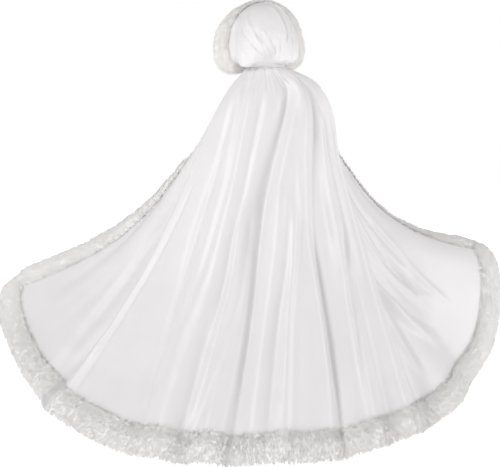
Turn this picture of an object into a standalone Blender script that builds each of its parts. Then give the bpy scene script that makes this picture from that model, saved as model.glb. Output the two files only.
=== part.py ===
"""Floor-length bridal cape with a hood and faux-fur trim, held out at both sides.

The cape hangs in its worn form with no wearer. The origin is the centre of the neck opening, +Z is up,
the garment's front faces -Y and its left side is +X. All sizes are in metres.
"""
import math

import bmesh
import bpy
import numpy as np

# Driving dimensions
NECK_RADIUS = 0.076        # middle of the cloth wall at the neck seam
CLOTH_WALL = 0.002         # heavy lustrous cloth
SEAM_GAP = 0.0003          # between neighbouring pieces
SHOULDER_T = 0.10          # where along a rib the shoulder lies, 0 at the neck and 1 at the hem
UPPER_T = 0.26             # where along a rib the cloth leaves the shoulder in a straight fall
MIDDLE_T = 0.50            # where along a rib its middle point lies
HEM_SEAM_T = 0.93          # where the cloth ends and the fur band of the hem begins
FUR_WIDTH = 0.105          # width of the front fur bands
FUR_NECK_WIDTH = 0.050     # the same at the throat
FUR_HALF_THICKNESS = 0.016
FUR_SEAM_HALF_THICKNESS = 0.0024
FUR_NECK_SHARE = 0.4       # the fur is this much as thick at the throat
FUR_NECK_CLEARANCE = 0.004 # and starts this far below the neckline
HOOD_FUR_CLEARANCE = 0.018 # the hood's fur starts this far above it
BAND_HEIGHT = 0.012        # bias binding between hood and cape
BAND_WALL = 0.003
BAND_END_DEG = 173.0       # the binding's ends, from the nape round to the throat
EYE_WIRE = 0.0011          # radius of the eye's wire
HOOK_WIRE = 0.0009
CLOSURE_REACH = 0.019      # hook and eye are sewn inside the binding this far from the middle
CLOSURE_Y = -0.0706        # they lie in an upright plane just inside the binding
EYE_BEND = 0.003           # radius of the eye's round nose
EYE_NOSE_X = -0.0021       # and its centre
HOOK_BEND = 0.0025
HOOK_CURL_X = -0.0015      # centre of the hook's curl
HOOK_KNEE_X = 0.01295      # where its wire starts to bend forward
HOOK_LEAD = 0.005          # straight wire before the curl
HOOK_TIP = 0.00375         # and after it

# Grid fineness, in cells
BACK_CELLS = 70            # across the back panel
FRONT_CELLS = 18           # across each front panel
CAPE_ROWS = 20             # down the cape
CAPE_ROW_POWER = 1.3       # the rows are closer together near the neck
HOOD_CELLS = 28            # over the hood's arches
HOOD_ROWS = 15             # from its fur back to the nape
FUR_CELLS = 4              # across a fur band, on each face
BAND_CELLS = 48
WIRE_SIDES = 8

# The ribs: lines of the cloth from neck to hem, from the left front edge round the back to the right one.
# neck is the compass direction of the rib's top end in degrees from the nape, plus to the left.
RIB_COLUMNS = ("neck", "shoulder_x", "shoulder_y", "shoulder_z", "middle_x", "middle_y", "middle_z",
               "hem_x", "hem_y", "hem_z")
RIBS = {
    "left_edge":    (172, 0.062, -0.135, -0.130, 0.515, -0.22, -0.59, 1.17, -0.30, -0.935),
    "left_wing_a":  (152, 0.104, -0.115, -0.120, 0.55, -0.17, -0.66, 1.20, -0.19, -1.08),
    "left_wing_b":  (132, 0.140, -0.085, -0.110, 0.54, -0.11, -0.71, 1.115, -0.03, -1.22),
    "left_wing_c":  (112, 0.154, -0.045, -0.100, 0.50, -0.05, -0.74, 1.025, 0.13, -1.30),
    "left_valley":  (95, 0.158, -0.010, -0.100, 0.43, 0.02, -0.75, 0.930, 0.28, -1.36),
    "left_ridge":   (78, 0.158, 0.030, -0.095, 0.435, 0.13, -0.75, 0.835, 0.43, -1.38),
    "back_a":       (50, 0.120, 0.095, -0.095, 0.28, 0.31, -0.75, 0.53, 0.73, -1.41),
    "back_b":       (20, 0.040, 0.130, -0.095, 0.09, 0.38, -0.75, 0.18, 0.82, -1.42),
    "back_c":       (-12, -0.060, 0.135, -0.095, -0.09, 0.385, -0.75, -0.13, 0.81, -1.42),
    "back_d":       (-45, -0.155, 0.105, -0.085, -0.24, 0.33, -0.76, -0.39, 0.70, -1.41),
    "right_ridge":  (-76, -0.222, 0.030, -0.078, -0.392, 0.16, -0.76, -0.59, 0.49, -1.42),
    "right_valley": (-92, -0.220, -0.010, -0.090, -0.42, 0.05, -0.76, -0.745, 0.27, -1.425),
    "right_wing_c": (-110, -0.202, -0.050, -0.120, -0.46, -0.04, -0.75, -0.88, 0.05, -1.37),
    "right_wing_b": (-130, -0.175, -0.090, -0.130, -0.50, -0.13, -0.71, -1.03, -0.16, -1.23),
    "right_roll":   (-152, -0.138, -0.125, -0.145, -0.49, -0.22, -0.60, -1.09, -0.37, -0.94),
    "right_edge":   (-172, -0.090, -0.145, -0.160, -0.44, -0.31, -0.60, -1.00, -0.50, -0.80),
}
LEFT_SEAM_RIB = 4.45       # side seams, counted in ribs
RIGHT_SEAM_RIB = 10.55
LAST_RIB = len(RIBS) - 1.0

# The folds that run down the cloth: soft ridges (plus) and troughs (minus). The rib columns say where the
# fold lies at the shoulder, at the upper and middle rows and at the hem, and the half widths are in ribs
# too. The fold starts the fraction start of the way down. Heights are in millimetres.
FOLD_COLUMNS = ("top", "upper", "middle", "hem", "top_half", "hem_half", "start", "middle_mm", "hem_mm")
FOLDS = {
    "left_wing_swell":    (2.60, 2.60, 2.40, 2.20, 0.80, 0.80, 0.15, 10, 14),
    "left_wing_trough":   (4.50, 4.55, 4.45, 3.70, 0.26, 0.42, 0.12, -22, -30),
    "left_ridge":         (5.25, 5.15, 5.06, 4.86, 0.26, 0.27, 0.04, 22, 34),
    "left_trough":        (5.32, 5.72, 5.76, 6.05, 0.20, 0.24, 0.06, -13, -26),
    "back_bright_ridge":  (6.60, 6.44, 6.27, 6.26, 0.28, 0.22, 0.01, 17, 27),
    "back_notch":         (6.50, 6.50, 6.46, 6.58, 0.10, 0.16, 0.50, 0, -26),
    "back_low_ridge":     (7.05, 6.90, 6.78, 6.84, 0.18, 0.17, 0.30, 8, 20),
    "back_deep_trough":   (8.35, 7.52, 7.22, 7.12, 0.34, 0.19, 0.01, -21, -26),
    "back_middle_ridge":  (8.60, 8.05, 7.92, 7.68, 0.26, 0.24, 0.08, 13, 24),
    "back_right_trough":  (8.85, 8.54, 8.72, 8.56, 0.22, 0.19, 0.04, -15, -32),
    "back_right_ridge":   (9.10, 9.02, 9.16, 9.04, 0.20, 0.20, 0.10, 9, 20),
    "back_thin_trough":   (9.25, 9.42, 9.56, 9.46, 0.11, 0.14, 0.05, -8, -15),
    "right_ridge":        (9.95, 10.35, 10.08, 9.92, 0.28, 0.26, 0.03, 18, 30),
    "right_wing_trough":  (10.60, 10.80, 10.70, 10.60, 0.26, 0.34, 0.12, -18, -50),
    "right_wing_swell":   (11.60, 11.60, 11.55, 11.50, 0.40, 0.40, 0.30, 8, 26),
    "right_wing_low":     (12.50, 12.50, 12.40, 12.35, 0.35, 0.35, 0.50, 0, -24),
}

# The drawn folds: straight ones across the ribs, which the held-out arm pulls in the right front panel.
DRAWN_COLUMNS = ("from_rib", "from_t", "to_rib", "to_t", "half_width", "height_mm")
DRAWN_FOLDS = {
    "upper_trough": (10.9, 0.36, 12.9, 0.68, 0.022, -13),
    "upper_ridge":  (10.8, 0.42, 13.0, 0.78, 0.024, 14),
    "lower_trough": (10.9, 0.55, 12.3, 0.80, 0.020, -11),
    "lower_ridge":  (10.9, 0.62, 12.1, 0.84, 0.022, 12),
}
DRAWN_START = (-0.1, 0.25) # a drawn fold rises over this share of its length
DRAWN_END = (0.7, 1.1)     # and dies away over this one
RIB_SPACING = 0.13         # usual distance between ribs, for measuring across drawn folds
RIB_LENGTH = 1.60          # the cloth's length from neck to hem

# The hood's arches, from the face edge back to the nape. b is the arch's place, from 0 to 1, and foot the
# compass direction of its feet on the neckline. side and crown are its control points: low at the side,
# and high above it, level with its top.
HOOD_COLUMNS = ("b", "foot", "side_x", "side_y", "side_z", "crown_x", "crown_y", "crown_z")
HOOD_ARCHES = {
    "face_edge": (0.00, 168, 0.250, -0.105, -0.105, 0.262, -0.110, 0.264),
    "fur_seam":  (0.22, 148, 0.185, -0.055, -0.030, 0.158, -0.055, 0.265),
    "temple":    (0.42, 118, 0.165, 0.020, 0.000, 0.125, 0.025, 0.262),
    "crown":     (0.62, 80, 0.155, 0.090, 0.010, 0.110, 0.095, 0.232),
    "back":      (0.80, 46, 0.115, 0.128, 0.016, 0.080, 0.138, 0.160),
    "nape":      (0.92, 24, 0.060, 0.128, 0.026, 0.040, 0.136, 0.080),
    "pleats":    (1.00, 14, 0.012, 0.076, 0.0145, 0.006, 0.076, 0.0145),
}
HOOD_SEAM_B = 0.20         # where the hood's cloth ends and its fur band begins
HOOD_TURN_DEG = 14.0       # the hood looks this far to its left
HOOD_SHIFT = 0.003         # and sits this far to its left
HOOD_LEAN = 0.06           # and leans to its left by this much for each metre of height
HOOD_ROLL = 0.16           # and its left side lies lower by this much for each metre of width
HOOD_FREE = 0.10           # turn, shift, lean and roll come in over this distance from the neckline
HOOD_FOOT_Z = BAND_HEIGHT + 0.0025
DRAPE = (-0.012, 0.0, -0.028)  # the hood's right side is pulled out and down by this, towards the shoulder
DRAPE_A = (0.55, 0.80)     # it comes in round the arches from the apex to the right side
DRAPE_Z = (0.14, 0.03)     # and down from this height
POUCH_DROP = 0.016         # the slack cloth of the hood hangs out over the neck seam by this much
POUCH_REACH = 0.045        # at this distance from it
POUCH_SPREAD = 0.45        # and less nearer and further, over this share of that distance
POUCH_A = (0.75, 0.45)     # it comes in round the arches from the right side to the left
POUCH_B = (0.25, 0.50)     # and back from the fur, and is gone at the nape
POUCH_END_B = (0.98, 0.80)

CAPE_STEPS = (0.02, 0.004) # steps for measuring a surface's slope
HOOD_STEPS = (0.01, 0.01)

CLOTH_COLOUR = (0.80, 0.79, 0.80, 1.0)
FUR_COLOUR = (0.70, 0.68, 0.66, 1.0)
STEEL_COLOUR = (0.60, 0.60, 0.61, 1.0)


def column(table, columns, name):
    """One named column of a table, as an array."""
    return np.array([row[columns.index(name)] for row in table.values()], float)


def blend(low, high, x):
    """Rises smoothly from 0 at low to 1 at high."""
    s = np.clip((x - low) / (high - low), 0.0, 1.0)
    return s * s * (3.0 - 2.0 * s)


def spline(knots, values, x):
    """A natural cubic spline through the values at the knots, read at x."""
    knots = np.asarray(knots, float)
    values = np.asarray(values, float)
    count = len(knots)
    step = np.diff(knots)
    matrix = np.eye(count)
    right = np.zeros_like(values)
    for i in range(1, count - 1):
        matrix[i, i - 1:i + 2] = step[i - 1], 2.0 * (step[i - 1] + step[i]), step[i]
        slope_after = (values[i + 1] - values[i]) / step[i]
        slope_before = (values[i] - values[i - 1]) / step[i - 1]
        right[i] = 6.0 * (slope_after - slope_before)
    bend = np.linalg.solve(matrix, right.reshape(count, -1)).reshape(values.shape)
    x = np.asarray(x, float)
    i = np.clip(np.searchsorted(knots, x, side="right") - 1, 0, count - 2)
    spread = x.shape + (1,) * (values.ndim - 1)
    width = step[i].reshape(spread)
    a = ((knots[i + 1] - x) / step[i]).reshape(spread)
    b = 1.0 - a
    curve = (a ** 3 - a) * bend[i] + (b ** 3 - b) * bend[i + 1]
    return a * values[i] + b * values[i + 1] + curve * width ** 2 / 6.0


def on_neck(degrees, radius=NECK_RADIUS, z=0.0):
    """Points of the neckline circle, by compass direction from the nape."""
    angle = np.radians(degrees)
    return np.stack([radius * np.sin(angle), radius * np.cos(angle), np.full_like(angle, z)], axis=-1)


def points_of(table, columns, name):
    """The x, y and z columns that share a name, as points."""
    return np.stack([column(table, columns, f"{name}_{axis}") for axis in "xyz"], axis=-1)


SHOULDER_ROW = points_of(RIBS, RIB_COLUMNS, "shoulder")
MIDDLE_ROW = points_of(RIBS, RIB_COLUMNS, "middle")
RIB_T = (0.0, SHOULDER_T, UPPER_T, MIDDLE_T, 1.0)
RIB_POINTS = np.stack([
    on_neck(column(RIBS, RIB_COLUMNS, "neck"), z=-0.5 * CLOTH_WALL - SEAM_GAP),
    SHOULDER_ROW,
    SHOULDER_ROW + (MIDDLE_ROW - SHOULDER_ROW) * (UPPER_T - SHOULDER_T) / (MIDDLE_T - SHOULDER_T),
    MIDDLE_ROW,
    points_of(RIBS, RIB_COLUMNS, "hem"),
])


def smooth_cape(u, t):
    """The cape with no folds: splines down the ribs, joined by splines across them.

    u counts the ribs from the left front edge, and t runs from 0 at the neck to 1 at the hem.
    """
    down = spline(RIB_T, np.eye(len(RIB_T)), t)
    across = spline(np.arange(len(RIBS)), np.eye(len(RIBS)), u)
    return np.einsum("...i,...j,ijk->...k", down, across, RIB_POINTS)


def normals(surface, u, t, step_u, step_t):
    """Unit normals of a surface of two parameters, from the steps on both sides of each point."""
    along_u = surface(u + step_u, t) - surface(u - step_u, t)
    along_t = surface(u, t + step_t) - surface(u, t - step_t)
    normal = np.cross(along_t, along_u)
    return normal / np.linalg.norm(normal, axis=-1, keepdims=True)


def fold_height(u, t):
    """Height of all folds over the smooth cape: a bell across each fold, growing down its length."""
    height = np.zeros(np.broadcast(u, t).shape)
    for row in FOLDS.values():
        fold = dict(zip(FOLD_COLUMNS, row))
        ribs = [fold[name] for name in ("top", "upper", "middle", "hem")]
        rib = spline((SHOULDER_T, UPPER_T, MIDDLE_T, 1.0), ribs, np.maximum(t, SHOULDER_T))
        half = fold["top_half"] + (fold["hem_half"] - fold["top_half"]) * t
        grown = blend(fold["start"], max(MIDDLE_T, fold["start"] + 0.1), t) * fold["middle_mm"]
        grown = grown + blend(MIDDLE_T, 1.0, t) * (fold["hem_mm"] - fold["middle_mm"])
        height = height + 0.001 * grown * np.exp(-(((u - rib) / half) ** 2))
    for row in DRAWN_FOLDS.values():
        fold = dict(zip(DRAWN_COLUMNS, row))
        start = np.array([fold["from_rib"] * RIB_SPACING, fold["from_t"] * RIB_LENGTH])
        way = np.array([fold["to_rib"] * RIB_SPACING, fold["to_t"] * RIB_LENGTH]) - start
        place = np.stack(np.broadcast_arrays(u * RIB_SPACING, t * RIB_LENGTH), axis=-1) - start
        along = place @ way / (way @ way)
        off = np.linalg.norm(place - along[..., None] * way, axis=-1)
        ends = blend(*DRAWN_START, along) * (1.0 - blend(*DRAWN_END, along))
        height = height + 0.001 * fold["height_mm"] * ends * np.exp(-((off / fold["half_width"]) ** 2))
    return height


def cape(u, t):
    """The middle of the cape's cloth wall: the smooth cape with its folds raised along its normals."""
    normal = normals(smooth_cape, u, t, *CAPE_STEPS)
    return smooth_cape(u, t) + normal * fold_height(u, t)[..., None]


def hood(a, b):
    """The middle of the hood's cloth wall.

    a runs over each arch from its left foot to its right one, and b from the face edge to the nape. An
    arch is two cubic Bezier curves that meet at its apex, and its control points follow splines in b.
    """
    knots = column(HOOD_ARCHES, HOOD_COLUMNS, "b")
    foot = on_neck(spline(knots, column(HOOD_ARCHES, HOOD_COLUMNS, "foot"), b), z=HOOD_FOOT_Z)
    side = spline(knots, points_of(HOOD_ARCHES, HOOD_COLUMNS, "side"), b)
    crown = spline(knots, points_of(HOOD_ARCHES, HOOD_COLUMNS, "crown"), b)
    apex = crown * (0.0, 1.0, 1.0)
    s = (1.0 - np.abs(2.0 * a - 1.0))[..., None]
    arch = ((1.0 - s) ** 3 * foot + 3.0 * s * (1.0 - s) ** 2 * side
            + 3.0 * s ** 2 * (1.0 - s) * crown + s ** 3 * apex)
    free = blend(0.0, HOOD_FREE, np.linalg.norm(arch - foot, axis=-1))
    pouch = np.exp(-((np.linalg.norm(arch - foot, axis=-1) / POUCH_REACH - 1.0) / POUCH_SPREAD) ** 2)
    pouch *= blend(*POUCH_A, a) * blend(*POUCH_B, b) * blend(*POUCH_END_B, b)
    drape = free * blend(*DRAPE_A, a) * blend(*DRAPE_Z, arch[..., 2])
    arch[..., 2] -= POUCH_DROP * pouch
    arch[..., 0] *= np.where(a > 0.5, -1.0, 1.0)
    arch += drape[..., None] * DRAPE
    across, back = arch[..., 0].copy(), arch[..., 1].copy()
    turn = math.radians(HOOD_TURN_DEG) * free
    arch[..., 0] = across * np.cos(turn) - back * np.sin(turn)
    arch[..., 1] = across * np.sin(turn) + back * np.cos(turn)
    arch[..., 0] += free * (HOOD_SHIFT + HOOD_LEAN * arch[..., 2])
    arch[..., 2] -= free * HOOD_ROLL * across
    return arch


def grid(count_a, count_b):
    """Two parameters from 0 to 1 over a grid of cells."""
    return np.meshgrid(np.linspace(0.0, 1.0, count_a + 1), np.linspace(0.0, 1.0, count_b + 1), indexing="ij")


def moved(points, target, distance):
    """Points moved towards their targets by a distance."""
    way = target - points
    return points + distance * way / np.linalg.norm(way, axis=-1, keepdims=True)


def inset(points, first_a=0.0, last_a=0.0, first_b=0.0, last_b=0.0):
    """Moves the borders of a grid into the piece, each by its own distance."""
    points = points.copy()
    points[0] = moved(points[0], points[1], first_a)
    points[-1] = moved(points[-1], points[-2], last_a)
    points[:, 0] = moved(points[:, 0], points[:, 1], first_b)
    points[:, -1] = moved(points[:, -1], points[:, -2], last_b)
    return points


def add_piece(name, points, faces, material):
    """One closed mesh object from its points and faces, with its faces turned outwards."""
    mesh = bpy.data.meshes.new(name)
    mesh.from_pydata(points.reshape(-1, 3).tolist(), [], faces)
    shape = bmesh.new()
    shape.from_mesh(mesh)
    bmesh.ops.recalc_face_normals(shape, faces=shape.faces)
    shape.to_mesh(mesh)
    shape.free()
    mesh.shade_smooth()
    mesh.set_sharp_from_angle(angle=math.radians(50.0))
    mesh.materials.append(material)
    piece = bpy.data.objects.new(name, mesh)
    bpy.context.scene.collection.objects.link(piece)
    return piece


def add_wall(name, middle, normal, wall, material):
    """A cloth wall: a grid of points moved half the wall out and in, closed along its four borders."""
    outer = middle + 0.5 * wall * normal
    inner = middle - 0.5 * wall * normal
    rows, columns = middle.shape[:2]
    index = np.arange(rows * columns).reshape(rows, columns)
    faces = []
    for layer in (index, index + index.size):
        a, b, c, d = layer[:-1, :-1], layer[1:, :-1], layer[1:, 1:], layer[:-1, 1:]
        faces += np.stack([a, b, c], axis=-1).reshape(-1, 3).tolist()
        faces += np.stack([a, c, d], axis=-1).reshape(-1, 3).tolist()
    rim = np.concatenate([index[:, 0], index[-1, 1:], index[-2::-1, -1], index[0, -2:0:-1]])
    ahead = np.roll(rim, -1)
    faces += np.stack([rim, ahead, ahead + index.size, rim + index.size], axis=-1).tolist()
    return add_piece(name, np.stack([outer, inner]), faces, material)


def add_roll(name, loops, material):
    """A closed roll: a row of closed loops of points, joined, with a fan of triangles over each end."""
    count, around = loops.shape[:2]
    index = np.arange(count * around).reshape(count, around)
    ahead = np.roll(index, -1, axis=1)
    sides = np.stack([index[:-1], index[1:], ahead[1:], ahead[:-1]], axis=-1)
    faces = sides.reshape(-1, 4).tolist()
    centres = np.stack([loops[0].mean(axis=0), loops[-1].mean(axis=0)])
    for centre, row in ((index.size, 0), (index.size + 1, count - 1)):
        hub = np.full(around, centre)
        faces += np.stack([hub, index[row], ahead[row]], axis=-1).tolist()
    points = np.concatenate([loops.reshape(-1, 3), centres])
    return add_piece(name, points, faces, material)


def fur_loops(surface, u, t, half, steps, first_a, last_a):
    """Loops round a fur band, from the grid of its middle: column 0 is its free edge, the last its seam.

    The half thickness follows a half ellipse across the band, which ends at the seam in a low step.
    """
    seam_share = FUR_SEAM_HALF_THICKNESS / FUR_HALF_THICKNESS * blend(0.5, 1.0, ACROSS_FUR)
    ellipse = np.sqrt(np.clip(1.0 - (2.0 * ACROSS_FUR - 1.0) ** 2, 0.0, 1.0))
    bulge = seam_share + (1.0 - seam_share) * ellipse
    middle = inset(surface(u, t), first_a=first_a, last_a=last_a, last_b=SEAM_GAP)
    offset = normals(surface, u, t, *steps) * (half * bulge)[..., None]
    over = middle + offset
    under = middle - offset
    return np.concatenate([over[:, ::-1], under[:, 1:]], axis=1)


def width_in_ribs(t, edge, inwards):
    """How many ribs a front fur band spans at t, from the free edge inwards."""
    reach = np.linspace(0.0, 3.0, 121)
    u = np.broadcast_to(edge + inwards * reach, t.shape + reach.shape)
    line = smooth_cape(u, np.broadcast_to(t[..., None], u.shape))
    steps = np.linalg.norm(np.diff(line, axis=-2), axis=-1)
    length = np.concatenate([np.zeros(t.shape + (1,)), np.cumsum(steps, axis=-1)], axis=-1)
    wanted = FUR_NECK_WIDTH + (FUR_WIDTH - FUR_NECK_WIDTH) * blend(0.0, MIDDLE_T, t)
    spans = [np.interp(w, row, reach) for w, row in zip(wanted.ravel(), length.reshape(-1, reach.size))]
    return np.array(spans).reshape(t.shape)


def left_fur_rib(t, across=1.0):
    """The rib place of a line of the left front fur band: across is 0 at the free edge, 1 at the seam."""
    return across * width_in_ribs(t, 0.0, 1.0)


def right_fur_rib(t, across=1.0):
    """The same for the right front fur band."""
    return LAST_RIB - across * width_in_ribs(t, LAST_RIB, -1.0)


def finish(name, colour, roughness, metallic=0.0):
    """A plain Principled material of the piece's colour."""
    material = bpy.data.materials.new(name)
    material.use_nodes = True
    shader = material.node_tree.nodes["Principled BSDF"]
    shader.inputs["Base Color"].default_value = colour
    shader.inputs["Roughness"].default_value = roughness
    shader.inputs["Metallic"].default_value = metallic
    material.diffuse_color = colour
    return material


def cape_panel(name, u):
    """One panel of the cape, from the rib places of its grid."""
    middle = inset(cape(u, CAPE_T[None, :] + 0.0 * u), HALF_GAP, HALF_GAP, 0.0, HALF_GAP)
    normal = normals(cape, u, CAPE_T[None, :] + 0.0 * u, *CAPE_STEPS)
    add_wall(name, middle, normal, CLOTH_WALL, finish(name, CLOTH_COLOUR, 0.45))


def front_fur(name, fur_rib):
    """The fur band down one front edge, from the throat to the mitre at the hem corner."""
    t = CAPE_T[:, None] / HEM_SEAM_T * (1.0 - (1.0 - HEM_SEAM_T) * ACROSS_FUR)
    u = fur_rib(t, ACROSS_FUR)
    half = FUR_HALF_THICKNESS * (FUR_NECK_SHARE + (1.0 - FUR_NECK_SHARE) * blend(0.0, 2.0 * SHOULDER_T, t))
    loops = fur_loops(cape, u, t, half, CAPE_STEPS, FUR_NECK_CLEARANCE, HALF_GAP)
    add_roll(name, loops, finish(name, FUR_COLOUR, 0.9))


def hem_fur(name, seam_ribs):
    """The fur band round the hem, mitre to mitre. Its stations along the seam are the panels' own."""
    t = np.broadcast_to(1.0 - (1.0 - HEM_SEAM_T) * ACROSS_FUR, (len(seam_ribs), len(ACROSS_FUR)))
    share = ((seam_ribs - seam_ribs[0]) / (seam_ribs[-1] - seam_ribs[0]))[:, None]
    left = left_fur_rib(t, ACROSS_FUR)
    right = right_fur_rib(t, ACROSS_FUR)
    half = np.full(t.shape, FUR_HALF_THICKNESS)
    loops = fur_loops(cape, left + (right - left) * share, t, half, CAPE_STEPS, HALF_GAP, HALF_GAP)
    add_roll(name, loops, finish(name, FUR_COLOUR, 0.9))


def hood_piece(name):
    """The hood's cloth, from its fur band back to the pleats at the nape."""
    a, row = grid(HOOD_CELLS, HOOD_ROWS)
    b = HOOD_SEAM_B + (1.0 - HOOD_SEAM_B) * row
    middle = inset(hood(a, b), first_b=HALF_GAP)
    normal = normals(hood, np.clip(a, 0.01, 0.99), np.clip(b, 0.0, 0.99), *HOOD_STEPS)
    add_wall(name, middle, normal, CLOTH_WALL, finish(name, CLOTH_COLOUR, 0.45))


def hood_fur(name):
    """The fur band round the face opening, from throat to throat."""
    a = np.linspace(0.0, 1.0, HOOD_CELLS + 1)[:, None] + 0.0 * ACROSS_FUR
    b = HOOD_SEAM_B * ACROSS_FUR + 0.0 * a
    ends = blend(0.0, 0.2, a) * blend(0.0, 0.2, 1.0 - a)
    half = FUR_HALF_THICKNESS * (FUR_NECK_SHARE + (1.0 - FUR_NECK_SHARE) * ends)
    loops = fur_loops(hood, a, b, half, HOOD_STEPS, HOOD_FUR_CLEARANCE, HOOD_FUR_CLEARANCE)
    add_roll(name, loops, finish(name, FUR_COLOUR, 0.9))


def neck_band(name):
    """The bias binding: an upright ring, open at the throat."""
    angle, height = grid(BAND_CELLS, 1)
    degrees = BAND_END_DEG * (1.0 - 2.0 * angle)
    middle = on_neck(degrees)
    middle[..., 2] = BAND_HEIGHT * (1.0 - height)
    add_wall(name, middle, on_neck(degrees, 1.0), BAND_WALL, finish(name, CLOTH_COLOUR, 0.5))


def add_wire(name, path, flat, radius):
    """A bent wire: loops of points round a path that lies in the plane across the direction flat."""
    tangent = np.gradient(path, axis=0)
    side = np.cross(tangent, flat)
    side /= np.linalg.norm(side, axis=-1, keepdims=True)
    turn = 2.0 * math.pi * np.arange(WIRE_SIDES)[:, None] / WIRE_SIDES
    loops = path[:, None] + radius * (np.cos(turn) * flat + np.sin(turn) * side[:, None])
    add_roll(name, loops, finish(name, STEEL_COLOUR, 0.3, 1.0))


def neck_eye(name):
    """A U-shaped wire loop sewn inside the binding's right end, with its nose past the middle."""
    turn = np.linspace(-0.5 * math.pi, 0.5 * math.pi, WIRE_SIDES + 1)
    nose = np.stack([EYE_NOSE_X + EYE_BEND * np.cos(turn), 0.0 * turn + CLOSURE_Y,
                     0.5 * BAND_HEIGHT + EYE_BEND * np.sin(turn)], axis=-1)
    foot = np.array([-CLOSURE_REACH, CLOSURE_Y, 0.5 * BAND_HEIGHT])
    below = foot - (0.0, 0.0, EYE_BEND)
    above = foot + (0.0, 0.0, EYE_BEND)
    add_wire(name, np.concatenate([[below], nose, [above]]), np.array([0.0, 1.0, 0.0]), EYE_WIRE)


def neck_hook(name):
    """A wire sewn inside the binding's left end that curls back through the eye."""
    turn = np.linspace(0.5 * math.pi, 1.5 * math.pi, WIRE_SIDES + 1)
    curl = np.stack([HOOK_CURL_X + HOOK_BEND * np.cos(turn), CLOSURE_Y + HOOK_BEND * np.sin(turn),
                     0.0 * turn + 0.5 * BAND_HEIGHT], axis=-1)
    foot = np.array([CLOSURE_REACH, CLOSURE_Y, 0.5 * BAND_HEIGHT])
    knee = np.array([HOOK_KNEE_X, CLOSURE_Y, 0.5 * BAND_HEIGHT])
    lead = curl[0] + (HOOK_LEAD, 0.0, 0.0)
    tip = curl[-1] + (HOOK_TIP, 0.0, 0.0)
    path = np.concatenate([[foot, knee, lead], curl, [tip]])
    add_wire(name, path, np.array([0.0, 0.0, 1.0]), HOOK_WIRE)


def main():
    for old in list(bpy.data.objects):
        bpy.data.objects.remove(old)
    left_seam = left_fur_rib(CAPE_T)
    right_seam = right_fur_rib(CAPE_T)
    front = np.linspace(0.0, 1.0, FRONT_CELLS + 1)[:, None]
    back = np.linspace(0.0, 1.0, BACK_CELLS + 1)[:, None]
    left_u = left_seam + (LEFT_SEAM_RIB - left_seam) * front
    back_u = LEFT_SEAM_RIB + (RIGHT_SEAM_RIB - LEFT_SEAM_RIB) * back + 0.0 * CAPE_T
    right_u = RIGHT_SEAM_RIB + (right_seam - RIGHT_SEAM_RIB) * front
    cape_panel("cape_left_front", left_u)
    cape_panel("cape_back", back_u)
    cape_panel("cape_right_front", right_u)
    front_fur("trim_front_left", left_fur_rib)
    front_fur("trim_front_right", right_fur_rib)
    hem_fur("trim_hem", np.concatenate([left_u[:, -1], back_u[1:, -1], right_u[1:, -1]]))
    hood_piece("hood")
    hood_fur("trim_hood")
    neck_band("neck_band")
    neck_hook("neck_hook")
    neck_eye("neck_eye")


ACROSS_FUR = 0.5 - 0.5 * np.cos(np.linspace(0.0, math.pi, FUR_CELLS + 1))
CAPE_T = HEM_SEAM_T * np.linspace(0.0, 1.0, CAPE_ROWS + 1) ** CAPE_ROW_POWER
HALF_GAP = 0.5 * SEAM_GAP

main()
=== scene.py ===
"""Floor-length bridal cape with a hood and faux-fur trim, seen from behind with both fronts held out.

Lengths are in metres. The origin is the centre of the neck opening, +Z is up, the garment's front faces -Y
and its left side is +X.
"""
import math

import bpy
import numpy as np
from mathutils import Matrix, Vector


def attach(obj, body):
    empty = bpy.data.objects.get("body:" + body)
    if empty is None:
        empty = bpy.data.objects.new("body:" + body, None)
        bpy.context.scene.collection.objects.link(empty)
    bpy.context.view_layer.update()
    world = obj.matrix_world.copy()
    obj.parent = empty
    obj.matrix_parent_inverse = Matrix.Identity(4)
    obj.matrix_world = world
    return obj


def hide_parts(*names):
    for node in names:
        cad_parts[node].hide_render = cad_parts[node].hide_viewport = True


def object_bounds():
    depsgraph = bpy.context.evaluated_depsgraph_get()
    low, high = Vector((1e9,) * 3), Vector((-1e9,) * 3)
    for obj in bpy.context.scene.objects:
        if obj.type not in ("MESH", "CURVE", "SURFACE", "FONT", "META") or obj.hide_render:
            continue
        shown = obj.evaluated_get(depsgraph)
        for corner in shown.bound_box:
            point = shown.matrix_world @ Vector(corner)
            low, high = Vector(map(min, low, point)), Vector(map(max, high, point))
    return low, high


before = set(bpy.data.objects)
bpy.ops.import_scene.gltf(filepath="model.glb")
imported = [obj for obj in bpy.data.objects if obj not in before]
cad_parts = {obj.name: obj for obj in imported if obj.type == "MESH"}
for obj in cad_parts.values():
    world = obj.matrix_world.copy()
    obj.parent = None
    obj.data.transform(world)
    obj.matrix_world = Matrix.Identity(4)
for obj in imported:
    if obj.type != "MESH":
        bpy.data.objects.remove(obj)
cad_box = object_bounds()

# The camera stands 4.5 m behind the garment at the height of its neck seam, and looks down a little. It
# takes in the whole cape, from the top of the hood to both corners of the hem.
eye = bpy.data.cameras.new("camera")
eye.sensor_width = 36.0
eye.lens = 76.46
camera = bpy.data.objects.new("camera", eye)
camera.location = (0.0678, 4.5, 0.0)
camera.rotation_euler = (math.radians(90.0 - 8.9), 0.0, math.pi)
bpy.context.scene.collection.objects.link(camera)
bpy.context.scene.camera = camera


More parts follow.
